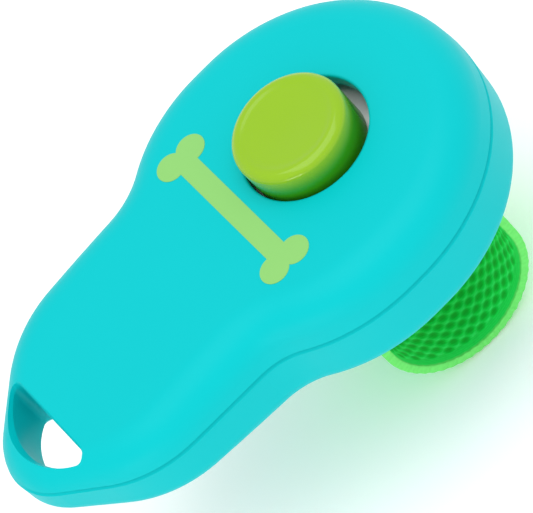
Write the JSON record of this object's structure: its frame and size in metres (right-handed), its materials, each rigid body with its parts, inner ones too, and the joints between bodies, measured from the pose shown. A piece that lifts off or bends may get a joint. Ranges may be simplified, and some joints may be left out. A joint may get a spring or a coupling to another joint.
{
  "type": "clicker trainer",
  "caption": "Hand-held dog-training clicker: keyhole-shaped plastic casing, sprung thumb button on a snap disc, elastic finger loop and lanyard slot.",
  "frame": {"origin": "under the middle of the whole object's length and width, at the finger loop's lowest point", "axes": "+X along the casing from the lanyard slot towards the round head, +Z out of the thumb button, +Y across"},
  "size_m": [0.0732, 0.0452, 0.0428],
  "materials": {
    "casing_plastic": "turquoise moulded plastic, satin gloss",
    "button_plastic": "lime-green moulded plastic, satin gloss",
    "spring_steel": "bright rolled spring steel",
    "ring_plastic": "natural moulded plastic",
    "fastener_steel": "zinc-plated steel",
    "strap_elastic": "bright green ribbed knitted elastic"
  },
  "bodies": {
    "casing": {"top_shell": "casing_plastic", "bottom_shell": "casing_plastic", "click_disc": "spring_steel", "disc_clamp_ring": "ring_plastic", "clamp_ring_screws": "fastener_steel", "case_screws": "fastener_steel", "finger_strap": "strap_elastic", "front_strap_pin": "fastener_steel", "rear_strap_pin": "fastener_steel"},
    "button": {"thumb_button": "button_plastic", "button_push_nut": "spring_steel"}
  },
  "joints": [
    {"name": "button_press", "type": "slide", "parent": "casing", "child": "button", "axis": [0, 0, -1], "range_m": [0, 0.0016], "stiffness_N_per_m": 600, "springref_m": -0.0004, "deforming": ["click_disc"]}
  ]
}
